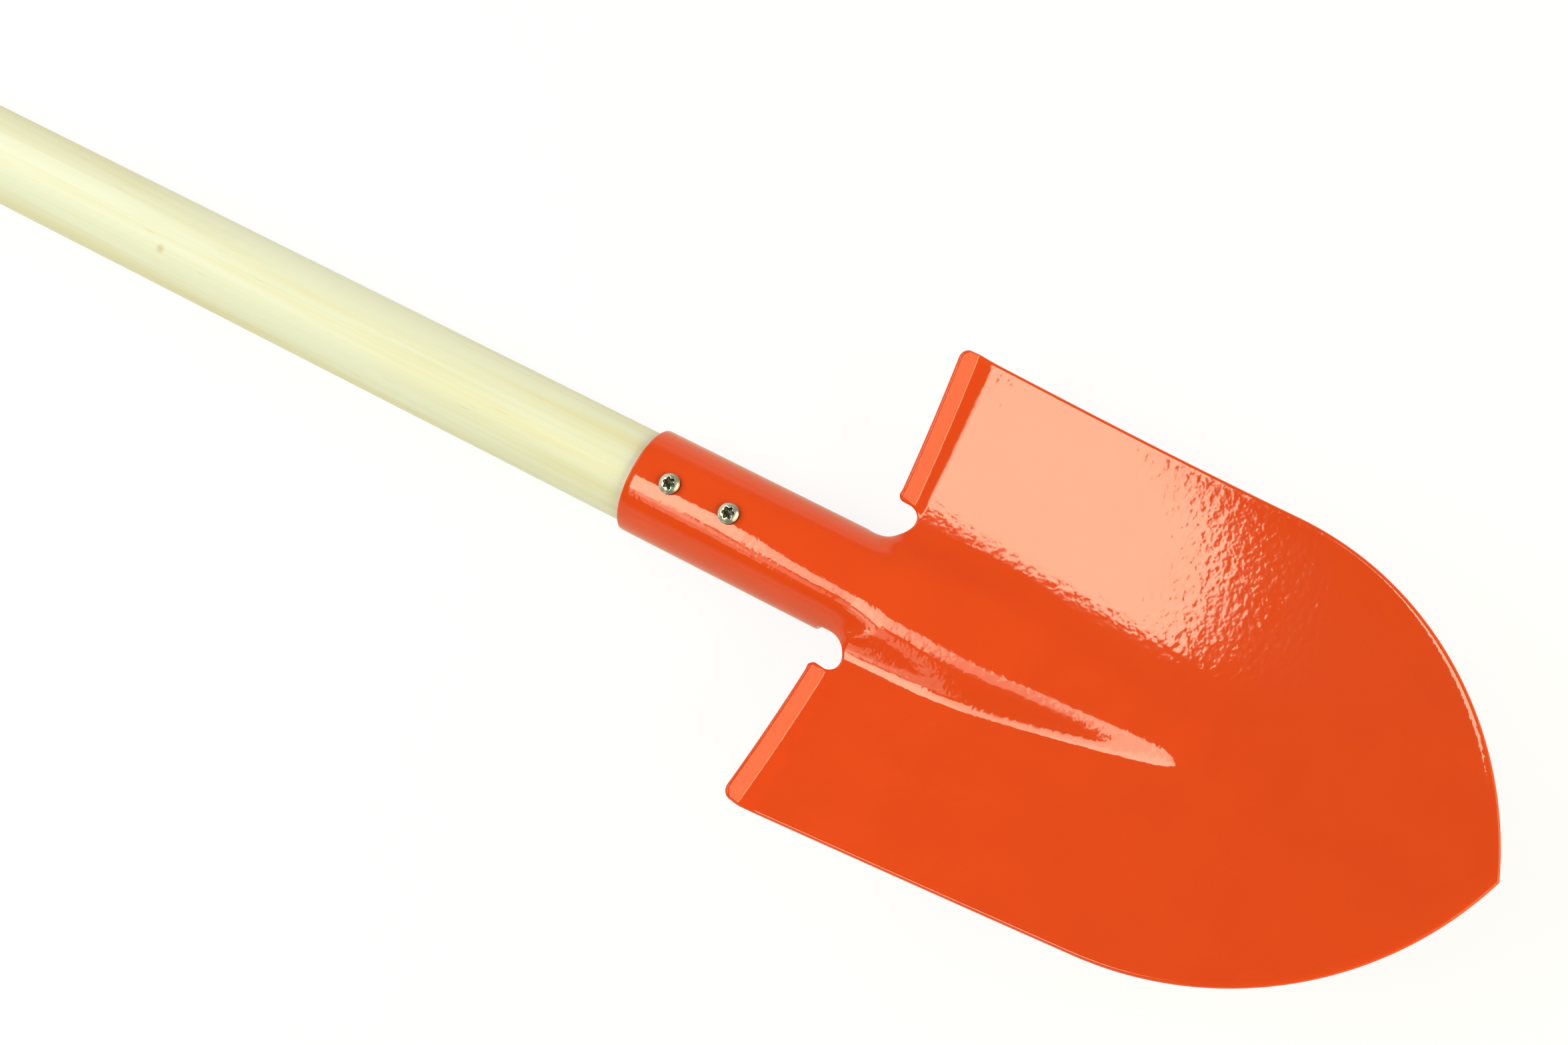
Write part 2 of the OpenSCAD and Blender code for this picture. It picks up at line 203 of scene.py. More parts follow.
def spread(tree, value, span, to_span=(0.0, 1.0)):
    """A value taken from one span to another and held there."""
    made = add_node(tree, "ShaderNodeMapRange", {
        "Value": value,
        "From Min": span[0],
        "From Max": span[1],
        "To Min": to_span[0],
        "To Max": to_span[1],
    })
    return made.outputs["Result"]


def blend_colours(tree, share, under, over):
    """One colour laid over another by a share."""
    made = add_node(tree, "ShaderNodeMix", data_type="RGBA")
    feed(tree, made.inputs[0], share)
    feed(tree, made.inputs[6], under)
    feed(tree, made.inputs[7], over)
    return made.outputs[2]


def emboss(tree, shader, pattern, strength, depth):
    """Raise a finish where its pattern is high."""
    bump = add_node(tree, "ShaderNodeBump", {
        "Height": pattern,
        "Strength": strength,
        "Distance": depth,
    })
    feed(tree, shader.inputs["Normal"], bump.outputs[0])


# Wood: broad warm bands of growth, fine fibres, short dark pores and one small knot. A stretch
# below 1 draws a pattern out along the pole, and a span is the part of it that shows.
wood_pale = (0.775, 0.815, 0.68, 1)
wood_warm = (0.74, 0.69, 0.43, 1)
wood_fleck = (0.52, 0.36, 0.14, 1)
growth_stretch = (0.055, 1, 1)
growth_scale = 100
growth_detail = 3
growth_span = (0.46, 0.64)
growth_share = 0.7
fibre_stretch = (0.012, 1, 1)
fibre_scale = 900
fibre_detail = 2
fibre_span = (0.45, 0.75)
fibre_share = 0.3
fibre_relief = 0.3
fibre_depth = 0.0001
pore_stretch = (0.05, 1, 1)
pore_scale = 1500
pore_detail = 1
pore_span = (0.72, 0.82)
pore_share = 0.35
knot_place = (-0.0273, -0.0053, 0.029)
knot_span = (0.0004, 0.0019)
knot_share = 0.45
lacquer_span = (0.3, 0.7)
lacquer_roughness = (0.34, 0.46)
wood, wood_nodes, wood_shader, wood_place = new_finish("lacquered_hardwood")
growth = noise_at(wood_nodes, wood_place, growth_stretch, growth_scale, growth_detail)
fibre = noise_at(wood_nodes, wood_place, fibre_stretch, fibre_scale, fibre_detail)
pores = noise_at(wood_nodes, wood_place, pore_stretch, pore_scale, pore_detail)
grain = work_out(
    wood_nodes, "ADD",
    spread(wood_nodes, growth, growth_span, (0, growth_share)),
    spread(wood_nodes, fibre, fibre_span, (0, fibre_share)),
)
grained = blend_colours(wood_nodes, grain, wood_pale, wood_warm)
in_pores = spread(wood_nodes, pores, pore_span, (0, pore_share))
flecked = blend_colours(wood_nodes, in_pores, grained, wood_fleck)
to_knot = add_node(
    wood_nodes, "ShaderNodeVectorMath", {0: wood_place, 1: knot_place}, operation="DISTANCE")
in_knot = spread(wood_nodes, to_knot.outputs["Value"], knot_span, (knot_share, 0))
knotted = blend_colours(wood_nodes, in_knot, flecked, wood_fleck)
lacquer = spread(wood_nodes, fibre, lacquer_span, lacquer_roughness)
feed(wood_nodes, wood_shader.inputs["Base Color"], knotted)
feed(wood_nodes, wood_shader.inputs["Roughness"], lacquer)
emboss(wood_nodes, wood_shader, fibre, fibre_relief, fibre_depth)

pole = grow("turned_pole", bpy.data.meshes.new("turned_pole_start"), pole_tree, {
    "Length": pole_high.x - pole_low.x,
    "Radius": pole_r,
    "End rounding": pole_end_round,
    "Seat length": pole_high.x - mouth_x,
    "Seat taper": pole_seat_taper,
    "Free end": pole_low.x,
    "Axis height": axis_z,
    "Rings": pole_rings,
    "Sides": pole_sides,
    "Finish": wood,
})
pole.data.shade_smooth()
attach(pole, "root")
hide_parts("handle")


# Blade: one piece of steel sheet, pressed to a dished round-point blade with a ridge and two
# turned-up treads, rolled to a socket at its neck, and coated all over with gloss enamel.
# Places on it are measured from the mouth of the socket and from the pole's axis.
sheet_t = 0.0016
rim_r = 0.0006
socket_r = axis_z - blade_low.z
socket_len = 0.068
seam_w = 0.002
neck_len = 0.0096
bend_x = socket_len + neck_len
blade_len = 0.181
tip_x = bend_x + blade_len
half_w = 0.0702
side_taper = math.radians(3.9)
nose_r = 0.096

# Rise of the blade's middle line from heel to tip, and the radius of its dish across
heel_rise = 0.0074
heel_slope = math.tan(math.radians(4.4))
tip_slope = math.tan(math.radians(21.2))
heel_dish_r = 0.168
tip_dish_r = 0.117

# Ridge: it starts wider than the tube, then narrows and falls to a rounded end
ridge_len = 0.106
ridge_straight = 0.034
ridge_ease = 0.024
ridge_h = 0.008
ridge_out = 0.0063
ridge_half_w = socket_r + ridge_out
ridge_end_half_w = 0.0082
ridge_round = 1.47
ridge_fall = 0.82
ridge_nose = 0.12

# Neck: the front of the tube carries on past its end and runs out into the face
neck_span = math.radians(75)
neck_edge_y = socket_r * math.sin(neck_span)
toe_run = 0.002
crown_fade = 0.0196
side_fade = 0.0105
side_start_y = 0.0095
crown_flat = 0.00064
crown_flat_x = 0.0234
crown_flat_waves = 4
tube_cut = 0.003
tube_cut_span = math.radians(45)

# Notches beside the neck, and treads with bend lines that sweep back to the shoulders
notch_r = 0.0033
notch_back = 0.0022
notch_x = bend_x - notch_back
notch_out = 0.0065
notch_y = socket_r + notch_out
notch_gap = 0.002
notch_in_x = socket_len + notch_gap
heel_sweep = 0.0012
curl_w = 0.0022
curl_end_w = 0.005
curl_slope = math.tan(math.radians(22))
curl_fade = 0.005
tread_turn = math.radians(22)
tread_bend_r = 0.004
tread_flat = 0.0045
tread_corner_r = 0.003
tread_inner_r = 0.0017


def mix(a, b, t):
    """A share t of the way from a to b."""
    return a + (b - a) * t


def clamp(t):
    """A share held between 0 and 1."""
    return np.clip(t, 0.0, 1.0)


def ease(t):
    """A share that starts and stops gently."""
    return clamp(t) ** 2 * (3 - 2 * clamp(t))


# Outline: straight sides from the shoulders, then two arcs that meet at the tip. The face
# stops short of it by the radius of the rounded rim.
nose_reach = blade_len + nose_r * math.sin(side_taper)
nose_drop = half_w - nose_r * math.cos(side_taper)
nose_along = nose_reach * math.cos(side_taper) + nose_drop * math.sin(side_taper)
side_run = nose_along - math.sqrt(nose_along ** 2 - nose_reach ** 2 - nose_drop ** 2 + nose_r ** 2)
nose_x = tip_x - nose_reach + side_run * math.cos(side_taper)
nose_y = nose_drop - side_run * math.sin(side_taper)
face_r = nose_r - rim_r
face_half_w = half_w - rim_r / math.cos(side_taper)
side_end_x = nose_x + face_r * math.sin(side_taper)
tip_angle = math.acos(-nose_y / face_r)


def outline_y(x):
    """Half width of the face."""
    straight = face_half_w - (x - bend_x) * math.tan(side_taper)
    arc = nose_y + np.sqrt(np.maximum(face_r ** 2 - (x - nose_x) ** 2, 0))
    return np.where(x < side_end_x, straight, arc)


def middle_z(x):
    """Height of the face on its middle line, under the ridge."""
    t = (x - bend_x) / blade_len
    c = clamp(t)
    return heel_rise + blade_len * (heel_slope * t + (tip_slope - heel_slope) * (c ** 3 - c ** 4 / 2))


def dish_z(x, y):
    """Rise of the face towards its sides."""
    t = clamp((x - bend_x) / blade_len)
    return y ** 2 / 2 / mix(heel_dish_r, tip_dish_r, t * (2 - t))


# The far side of each notch runs into a bend line, and the face curls up to these lines
notch_face_r = notch_r + rim_r
notch_far_x = notch_x + notch_face_r
arc_span = math.acos(notch_back / notch_face_r)
arc_end_y = notch_y + notch_face_r * math.sin(arc_span)


def along_tread(y):
    """Share of the way along a bend line, from its notch to the shoulder."""
    return clamp((abs(y) - arc_end_y) / (face_half_w - arc_end_y))


def heel_line_x(y):
    """Place of the bend line along the tool."""
    return bend_x - heel_sweep * along_tread(y)


def curl_z(x, y):
    """Rise of the face just before the bend line."""
    width = mix(curl_w, curl_end_w, along_tread(y))
    over = np.maximum(heel_line_x(y) + width - x, 0)
    return ease((abs(y) - notch_y) / curl_fade) * curl_slope * over ** 2 / 2 / width


def ridge_z(x, y):
    """Height of the ridge over the face."""
    to_end = 1 - clamp((x - bend_x) / ridge_len)
    height = ridge_h * to_end ** ridge_fall * ease(to_end / ridge_nose)
    past = np.maximum(x - bend_x - ridge_straight + ridge_ease / 2, 0)
    past = np.where(past < ridge_ease, past ** 2 / 2 / ridge_ease, past - ridge_ease / 2)
    narrow = clamp(past / (ridge_len - ridge_straight))
    down = clamp(abs(y) / mix(ridge_half_w, ridge_end_half_w, narrow))
    return height * (1 + np.cos(math.pi * down ** ridge_round)) / 2


def flat_z(turn):
    """How far the pressing moves the tube's front, by the angle from its crown."""
    inside = np.minimum(abs(turn), neck_span)
    window = np.cos(inside / neck_span * math.pi / 2) ** 2
    return -crown_flat * np.cos(crown_flat_waves * inside) * window / np.cos(inside)


def crown_z(y):
    """Height of the tube's front, with a short toe beside it."""
    on_tube = np.minimum(abs(y), neck_edge_y)
    out = clamp((abs(y) - on_tube) / toe_run)
    tube_z = np.sqrt(socket_r ** 2 - on_tube ** 2) + flat_z(np.arcsin(on_tube / socket_r))
    return tube_z - math.tan(neck_span) * toe_run * (out - out ** 2 / 2)


def sheet_z(x, y):
    """Height of the sheet's front, from the end of the tube to the tip."""
    fade = mix(crown_fade, side_fade, ease((abs(y) - side_start_y) / (neck_edge_y - side_start_y)))
    crown = 1 - ease((x - socket_len) / fade)
    crown = crown * (1 - ease((abs(y) - neck_edge_y) / (notch_y - neck_edge_y)))
    return mix(middle_z(x) + dish_z(x, y) + curl_z(x, y) + ridge_z(x, y), crown_z(y), crown)


def on_face(x, y):
    """Points on the sheet's front."""
    return np.stack([x, y, sheet_z(x, y)], axis=-1)


def face_normal(x, y, step=0.0001):
    """Directions square to the sheet's front."""
    slope_x = (sheet_z(x + step, y) - sheet_z(x - step, y)) / (2 * step)
    slope_y = (sheet_z(x, y + step) - sheet_z(x, y - step)) / (2 * step)
    normal = np.stack([-slope_x, -slope_y, np.ones_like(x)], axis=-1)
    return normal / np.linalg.norm(normal, axis=-1, keepdims=True)


# How many lines and rows of points make up each stretch of the sheet
neck_lines = 26
arc_lines = 8
tread_lines = 34
neck_rows = 14
blade_rows = 118
tube_rows = 42
tube_side_lines = 26
bend_rows = 9
flat_rows = 14

# Heel edge, from the middle out: the end of the neck, the arc of a notch and the bend line
flare_power = 4
face_neck_span = neck_span - rim_r / socket_r


def neck_y(share, flare):
    """Place across the neck, which follows the tube and flares out to the notches."""
    round_tube = socket_r * np.sin(face_neck_span * share)
    return round_tube + flare * np.sign(share) * abs(share) ** flare_power


neck_flare = notch_y - socket_r * math.sin(face_neck_span)
neck_shares = np.arange(neck_lines + 1) / neck_lines
arc_turns = arc_span * np.arange(1, arc_lines) / arc_lines
tread_line_y = np.linspace(arc_end_y, face_half_w, tread_lines + 1)
heel_x = np.concatenate([
    np.full(neck_lines + 1, notch_far_x),
    notch_x + notch_face_r * np.cos(arc_turns),
    heel_line_x(tread_line_y),
])
heel_y = np.concatenate([
    neck_y(neck_shares, neck_flare),
    notch_y + notch_face_r * np.sin(arc_turns),
    tread_line_y,
])
heel_x = np.concatenate([heel_x[:0:-1], heel_x])
heel_y = np.concatenate([-heel_y[:0:-1], heel_y])

# Face: lines fan out from the heel edge to the nose, and the outer ones bow to the sides
row_crowding = 1.35
bow_power = 6
corner_share = 0.2
corner_angle = mix(side_taper, tip_angle, corner_share)
heel_share = heel_y / face_half_w
end_angle = mix(tip_angle, corner_angle, abs(heel_share))
end_x = nose_x + face_r * np.sin(end_angle)
end_y = np.sign(heel_share) * (nose_y + face_r * np.cos(end_angle))
row_share = ((np.arange(blade_rows + 1) / blade_rows) ** row_crowding)[:, None]
corner_x = nose_x + face_r * math.sin(corner_angle)
corner_y = nose_y + face_r * math.cos(corner_angle)
side_bow = outline_y(mix(bend_x, corner_x, row_share)) - mix(face_half_w, corner_y, row_share)
face_x = mix(heel_x, end_x, row_share)
bow_share = np.sign(heel_share) * abs(heel_share) ** bow_power
face_y = mix(heel_y, end_y, row_share) + bow_share * side_bow
face_grid = on_face(face_x, face_y)

# Neck: from the far side of the notches back to the end of the tube
quarter = np.linspace(0, math.pi / 2, neck_rows + 1)
beside_notch_x = notch_in_x + (notch_far_x - notch_in_x) * np.cos(quarter)
neck_x = np.append(beside_notch_x, [(notch_in_x + socket_len) / 2, socket_len])
neck_flares = np.append(neck_flare * (1 - np.sin(quarter)), [0, 0])
neck_share_row = np.linspace(-1, 1, 2 * neck_lines + 1)
neck_grid_y = np.stack([neck_y(neck_share_row, flare) for flare in neck_flares])
neck_grid = on_face(np.repeat(neck_x[:, None], len(neck_share_row), axis=1), neck_grid_y)

# Tube: the same lines carry on round the socket, as far as the open seam at its back
seam_turn = math.pi - math.asin((seam_w / 2 + rim_r) / socket_r)
side_turns = np.linspace(face_neck_span, seam_turn, tube_side_lines + 1)[1:]
tube_turns = np.concatenate([-side_turns[::-1], face_neck_span * neck_share_row, side_turns])
tube_cut_share = clamp((abs(tube_turns) - face_neck_span) / tube_cut_span)
tube_end_x = socket_len - tube_cut * np.sqrt(tube_cut_share * (2 - tube_cut_share))


def tube_row(along):
    """One row of points round the tube, at a share of the way from its mouth to its end."""
    x = mix(rim_r, tube_end_x, along)
    y = socket_r * np.sin(tube_turns)
    flat = flat_z(tube_turns) * ease((x - crown_flat_x) / (socket_len - crown_flat_x))
    return np.stack([x, y, socket_r * np.cos(tube_turns) + flat], axis=-1)


tube_grid = np.stack([tube_row(along) for along in np.linspace(1, 0, tube_rows + 1)])

# Treads: past the bend line the sheet is turned up, with rounded corners
bend_run = tread_bend_r * tread_turn
tread_run = bend_run + tread_flat - rim_r


def rounded(s, radius):
    """How far a corner's rounding cuts in, at a distance past the bend line."""
    over = max(s - tread_run + radius, 0)
    return radius - math.sqrt(max(radius ** 2 - over ** 2, 0))


def tread_row(side, s):
    """One row of points along a tread, at a distance past the bend line."""
    inner = notch_y + math.sqrt(notch_face_r ** 2 - min(s - notch_back, 0) ** 2)
    inner = inner + rounded(s, tread_inner_r - rim_r)
    outer = face_half_w - rounded(s, tread_corner_r - rim_r)
    y = side * np.linspace(inner, outer, tread_lines + 1)
    x = heel_line_x(y)
    up = face_normal(x, y)
    out = np.cross([0, -1, 0], up)
    out = out / np.linalg.norm(out, axis=-1, keepdims=True)
    turn = min(s, bend_run) / tread_bend_r
    bent = tread_bend_r * (out * math.sin(turn) + up * (1 - math.cos(turn)))
    return on_face(x, y) + bent + max(s - bend_run, 0) * (out * math.cos(turn) + up * math.sin(turn))


flat_steps = np.sin(np.linspace(0, math.pi / 2, flat_rows + 1))[1:]
tread_steps = np.concatenate([
    np.linspace(0, bend_run, bend_rows + 1),
    bend_run + (tread_run - bend_run) * flat_steps,
])
tread_grids = [np.stack([tread_row(side, s) for s in tread_steps]) for side in (1, -1)]

weld_gap = 1e-6
mitre_least = 0.5
rim_turns = [math.radians(turn) for turn in (30, 60, 90)]


def sheet_mesh(name, grids):
    """One closed mesh of sheet with a rounded rim, from grids of its front that share edges."""
    built = bmesh.new()
    for grid in grids:
        placed = grid + (mouth_x, 0, axis_z)
        corners = [[built.verts.new(point) for point in row] for row in placed]
        for near, far in zip(corners, corners[1:]):
            for k in range(len(near) - 1):
                built.faces.new((near[k], near[k + 1], far[k + 1], far[k]))
    bmesh.ops.remove_doubles(built, verts=built.verts, dist=weld_gap)
    bmesh.ops.recalc_face_normals(built, faces=built.faces)
    highest = max(built.faces, key=lambda face: face.calc_center_median().z)
    if highest.normal.z < 0:
        bmesh.ops.reverse_faces(built, faces=built.faces)
    built.normal_update()
    front = list(built.verts)
    normals = {vert: vert.normal.copy() for vert in front}
    rim_edges = [edge.link_loops[0] for edge in built.edges if edge.is_boundary]
    rim_edges = [(loop.vert, loop.link_loop_next.vert) for loop in rim_edges]
    outward = {}
    for start, end in rim_edges:
        for vert in (start, end):
            side = (end.co - start.co).cross(normals[vert]).normalized()
            outward.setdefault(vert, []).append(side)
    for vert, (one, two) in outward.items():
        both = (one + two).normalized()
        outward[vert] = both / max(both.dot(one), mitre_least)

    # The rim: a quarter round, a short straight and a quarter round to the back
    rim_path = [(rim_r * math.sin(turn), rim_r * (1 - math.cos(turn))) for turn in rim_turns]
    rim_path += [(out, sheet_t - down) for out, down in reversed(rim_path)]
    rings = [{vert: vert for vert in outward}]
    for out, down in rim_path:
        rings.append({
            vert: built.verts.new(vert.co + side * out - normals[vert] * down)
            for vert, side in outward.items()
        })
    behind = {vert: built.verts.new(vert.co - normals[vert] * sheet_t) for vert in front}
    rings.append({vert: behind[vert] for vert in outward})
    for face in list(built.faces):
        built.faces.new([behind[vert] for vert in reversed(face.verts)])
    for near, far in zip(rings, rings[1:]):
        for start, end in rim_edges:
            built.faces.new((near[end], near[start], far[start], far[end]))
    mesh = bpy.data.meshes.new(name)
    built.to_mesh(mesh)
    built.free()
    return mesh


# Enamel: an even colour with faint clouds, and an orange peel of fine dimples on a low swell
enamel_colour = (0.77, 0.067, 0.0026, 1)
enamel_deep = (0.745, 0.063, 0.0024, 1)
even = (1, 1, 1)
cloud_scale = 60
cloud_detail = 3
cloud_span = (0.35, 0.65)
peel_scale = 560
peel_detail = 1
swell_scale = 260
swell_detail = 0
swell_share = 0.4
peel_relief = 1.0
peel_depth = 0.00003
gloss_span = (0.3, 0.7)
gloss_roughness = (0.05, 0.08)
enamel, enamel_nodes, enamel_shader, enamel_place = new_finish("gloss_enamel")
cloudy = noise_at(enamel_nodes, enamel_place, even, cloud_scale, cloud_detail)
peel = noise_at(enamel_nodes, enamel_place, even, peel_scale, peel_detail)
swell = noise_at(enamel_nodes, enamel_place, even, swell_scale, swell_detail)
low_swell = work_out(enamel_nodes, "MULTIPLY", swell, swell_share)
orange_peel = work_out(enamel_nodes, "ADD", peel, low_swell)
deep_share = spread(enamel_nodes, cloudy, cloud_span)
coated = blend_colours(enamel_nodes, deep_share, enamel_colour, enamel_deep)
gloss = spread(enamel_nodes, cloudy, gloss_span, gloss_roughness)
feed(enamel_nodes, enamel_shader.inputs["Base Color"], coated)
feed(enamel_nodes, enamel_shader.inputs["Roughness"], gloss)
emboss(enamel_nodes, enamel_shader, orange_peel, peel_relief, peel_depth)

# Holes for the screws, through the front of the tube
screw_hole_r = 0.0017
screw_hole_sides = 40
upper_low, upper_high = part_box("upper_screw")
lower_low, lower_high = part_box("lower_screw")
screw_xs = [(upper_low.x + upper_high.x) / 2, (lower_low.x + lower_high.x) / 2]
holes = bmesh.new()
for screw_x in screw_xs:
    made = bmesh.ops.create_cone(
        holes,
        cap_ends=True,
        segments=screw_hole_sides,
        radius1=screw_hole_r,
        radius2=screw_hole_r,
        depth=socket_r,
    )
    bmesh.ops.translate(holes, verts=made["verts"], vec=(screw_x, 0, axis_z + socket_r))
hole_mesh = bpy.data.meshes.new("screw_holes")
holes.to_mesh(hole_mesh)
holes.free()
hole_cutter = bpy.data.objects.new("screw_holes", hole_mesh)
bpy.context.collection.objects.link(hole_cutter)

sheet_grids = [face_grid, neck_grid, tube_grid, *tread_grids]
blade_start = bpy.data.objects.new("blade_start", sheet_mesh("blade_start", sheet_grids))
bpy.context.collection.objects.link(blade_start)
blade_start.data.materials.append(enamel)
pierce = blade_start.modifiers.new("screw_holes", "BOOLEAN")
pierce.object = hole_cutter
pierce.solver = "EXACT"
blade = keep_result("blade_sheet", blade_start)
bpy.data.objects.remove(hole_cutter)
blade.data.shade_smooth()
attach(blade, "root")
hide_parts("blade")


# Screws: two pan-head wood screws of zinc-plated steel with a six-lobe recess, driven through
# the crown of the socket into the pole. Their shanks, hidden in the wood, are plain.
head_r = (upper_high.x - upper_low.x) / 2
head_h = 0.0022
crown_r = 0.0047
seat_z = upper_high.z - head_h
shank_r = 0.0015
screw_len = seat_z - upper_low.z
point_len = 0.004
point_share = 0.12
head_edge_r = 0.00025
small_edge = 0.0002
fillet_share = 1.1
recess_r = 0.0020
recess_lobes = 6
recess_waist = 0.66
recess_roundness = 0.8
recess_depth = 0.0014
recess_middle = 0.35
recess_foot = 0.9
recess_wall = 0.97
recess_wall_depth = 0.8
recess_mouth = 0.98
recess_mouth_drop = 0.0001
recess_lip = 1.06
screw_sides = 72
crown_rings = 8
screw_turns = math.radians(17)


def crown_height(r):
    """Height of the head's domed top at a radius."""
    return head_h - crown_r + np.sqrt(crown_r ** 2 - r ** 2)


angles = 2 * math.pi * np.arange(screw_sides) / screw_sides
ones = np.ones(screw_sides)
lobe_shares = (0.5 + 0.5 * np.cos(recess_lobes * angles)) ** recess_roundness
lobes = recess_r * mix(recess_waist, 1, lobe_shares)
lip = lobes * recess_lip
crown_end_r = head_r - head_edge_r
edge_z = crown_height(crown_end_r) - head_edge_r

# Rings of radius and height: the recess, the crown, the head's edge, its seat and the shank
screw_rings = [
    (lobes * recess_middle, ones * (head_h - recess_depth - small_edge)),
    (lobes * recess_foot, ones * (head_h - recess_depth)),
    (lobes * recess_wall, ones * (head_h - recess_depth * recess_wall_depth)),
    (lobes * recess_mouth, crown_height(lobes) - recess_mouth_drop),
    (lip, crown_height(lip)),
]
for k in range(1, crown_rings + 1):
    r = mix(lip, crown_end_r * ones, k / crown_rings)
    screw_rings.append((r, crown_height(r)))
for turn in rim_turns:
    r = head_r - head_edge_r * (1 - math.sin(turn))
    screw_rings.append((r * ones, (edge_z + head_edge_r * math.cos(turn)) * ones))
for r, z in (
    (head_r, small_edge),
    (head_r - small_edge, 0),
    (shank_r * fillet_share, 0),
    (shank_r, -small_edge),
    (shank_r, -(screw_len - point_len)),
    (shank_r * point_share, -(screw_len - small_edge)),
):
    screw_rings.append((r * ones, z * ones))

built = bmesh.new()
corners = []
for r, z in screw_rings:
    ring = np.stack([r * np.cos(angles), r * np.sin(angles), z], axis=-1)
    corners.append([built.verts.new(point) for point in ring])
for near, far in zip(corners, corners[1:]):
    for k in range(screw_sides):
        n = (k + 1) % screw_sides
        built.faces.new((near[k], far[k], far[n], near[n]))
built.faces.new(corners[0])
built.faces.new(corners[-1][::-1])
bmesh.ops.recalc_face_normals(built, faces=built.faces)
screw_mesh = bpy.data.meshes.new("one_screw")
built.to_mesh(screw_mesh)
built.free()

# Zinc: bright plating with a fine cloudiness, and painted shade low in the recess: a dark colour that
# stands in for the recess's own shadow, and that ends between two heights over the seat
zinc_colour = (0.82, 0.82, 0.7, 1)
zinc_dark = (0.7, 0.7, 0.58, 1)
recess_shade_colour = (0.07, 0.07, 0.055, 1)
recess_shade_heights = (0.0009, 0.0013)
plating_scale = 900
plating_detail = 3
plating_span = (0.35, 0.7)
plating_relief = 0.08
plating_depth = 0.00005
shine_span = (0.3, 0.7)
shine_roughness = (0.2, 0.3)
zinc, zinc_nodes, zinc_shader, zinc_place = new_finish("zinc_plating")
plating = noise_at(zinc_nodes, zinc_place, even, plating_scale, plating_detail)
dark_share = spread(zinc_nodes, plating, plating_span)
plated = blend_colours(zinc_nodes, dark_share, zinc_colour, zinc_dark)
zinc_z = add_node(zinc_nodes, "ShaderNodeSeparateXYZ", {"Vector": zinc_place}).outputs["Z"]
# Painted shade: the plating is darkened low in the recess, where only shadow falls
shade_span = (seat_z + recess_shade_heights[0], seat_z + recess_shade_heights[1])
in_recess_shade = spread(zinc_nodes, zinc_z, shade_span, (1, 0))
recess_shaded = blend_colours(zinc_nodes, in_recess_shade, plated, recess_shade_colour)
shine = spread(zinc_nodes, plating, shine_span, shine_roughness)
feed(zinc_nodes, zinc_shader.inputs["Base Color"], recess_shaded)
feed(zinc_nodes, zinc_shader.inputs["Roughness"], shine)
zinc_shader.inputs["Metallic"].default_value = 1.0
emboss(zinc_nodes, zinc_shader, plating, plating_relief, plating_depth)

screw_tree, size_in, out = start_tree(
    "screw_row", ("First place", "Pitch", "Seat height", "Turn of each"), ("Count",))
first = add_node(screw_tree, "ShaderNodeCombineXYZ", {
    "X": size_in["First place"],
    "Z": size_in["Seat height"],
})
pitch = add_node(screw_tree, "ShaderNodeCombineXYZ", {"X": size_in["Pitch"]})
places = add_node(screw_tree, "GeometryNodeMeshLine", {
    "Count": size_in["Count"],
    "Start Location": first.outputs[0],
    "Offset": pitch.outputs[0],
})
number = add_node(screw_tree, "GeometryNodeInputIndex").outputs[0]
turn_of_each = add_node(screw_tree, "ShaderNodeCombineXYZ", {
    "Z": work_out(screw_tree, "MULTIPLY", number, size_in["Turn of each"]),
})
row = add_node(screw_tree, "GeometryNodeInstanceOnPoints", {
    "Points": places.outputs[0],
    "Instance": size_in["Geometry"],
    "Rotation": turn_of_each.outputs[0],
})
realized = add_node(screw_tree, "GeometryNodeRealizeInstances", {"Geometry": row.outputs[0]})
finished = add_node(screw_tree, "GeometryNodeSetMaterial", {
    "Geometry": realized.outputs[0],
    "Material": size_in["Finish"],
})
feed(screw_tree, out[0], finished.outputs[0])
screws = grow("socket_screws", screw_mesh, screw_tree, {
    "First place": screw_xs[0],
    "Pitch": screw_xs[1] - screw_xs[0],
    "Seat height": seat_z,
    "Turn of each": screw_turns,
    "Count": len(screw_xs),
    "Finish": zinc,
})
screws.data.shade_smooth()
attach(screws, "root")
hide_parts("upper_screw", "lower_screw")


# Studio: a floor of white paper under a sky that is white at the horizon and dim overhead. The
# key light is a row of panels in one plane over the pole's side. Two warm softboxes stand beyond
# the blade's tip, and a white one stands behind the pole's free end.
floor_half = 4.0
floor_corners = [(-1, -1), (1, -1), (1, 1), (-1, 1)]
white = (1, 1, 1, 1)
paper_colour = (0.8, 0.8, 0.8, 1)
paper_gloss_tint = (1, 0.93, 0.7, 1)
paper_light = 1.08
paper_share = 0.8
paper_gloss_share = 0.4
floor_mesh = bpy.data.meshes.new("floor")
floor_points = [(x * floor_half, y * floor_half, 0) for x, y in floor_corners]
floor_mesh.from_pydata(floor_points, [], [(0, 1, 2, 3)])
floor = bpy.data.objects.new("floor", floor_mesh)
bpy.context.collection.objects.link(floor)
paper = bpy.data.materials.new("white_paper")
paper.use_nodes = True
paper_nodes = paper.node_tree
paper_nodes.nodes.clear()
seen = add_node(paper_nodes, "ShaderNodeLightPath").outputs
in_camera = seen["Is Camera Ray"]
in_gloss = work_out(paper_nodes, "MAXIMUM", seen["Is Glossy Ray"], seen["Is Transmission Ray"])
seen_share = work_out(
    paper_nodes, "ADD",
    work_out(paper_nodes, "MULTIPLY", in_camera, paper_share),
    work_out(paper_nodes, "MULTIPLY", in_gloss, paper_gloss_share),
)
paper_matt = add_node(paper_nodes, "ShaderNodeBsdfDiffuse", {"Color": paper_colour})
paper_tint = blend_colours(paper_nodes, in_camera, paper_gloss_tint, white)
paper_white = add_node(paper_nodes, "ShaderNodeEmission", {
    "Color": paper_tint,
    "Strength": paper_light,
})
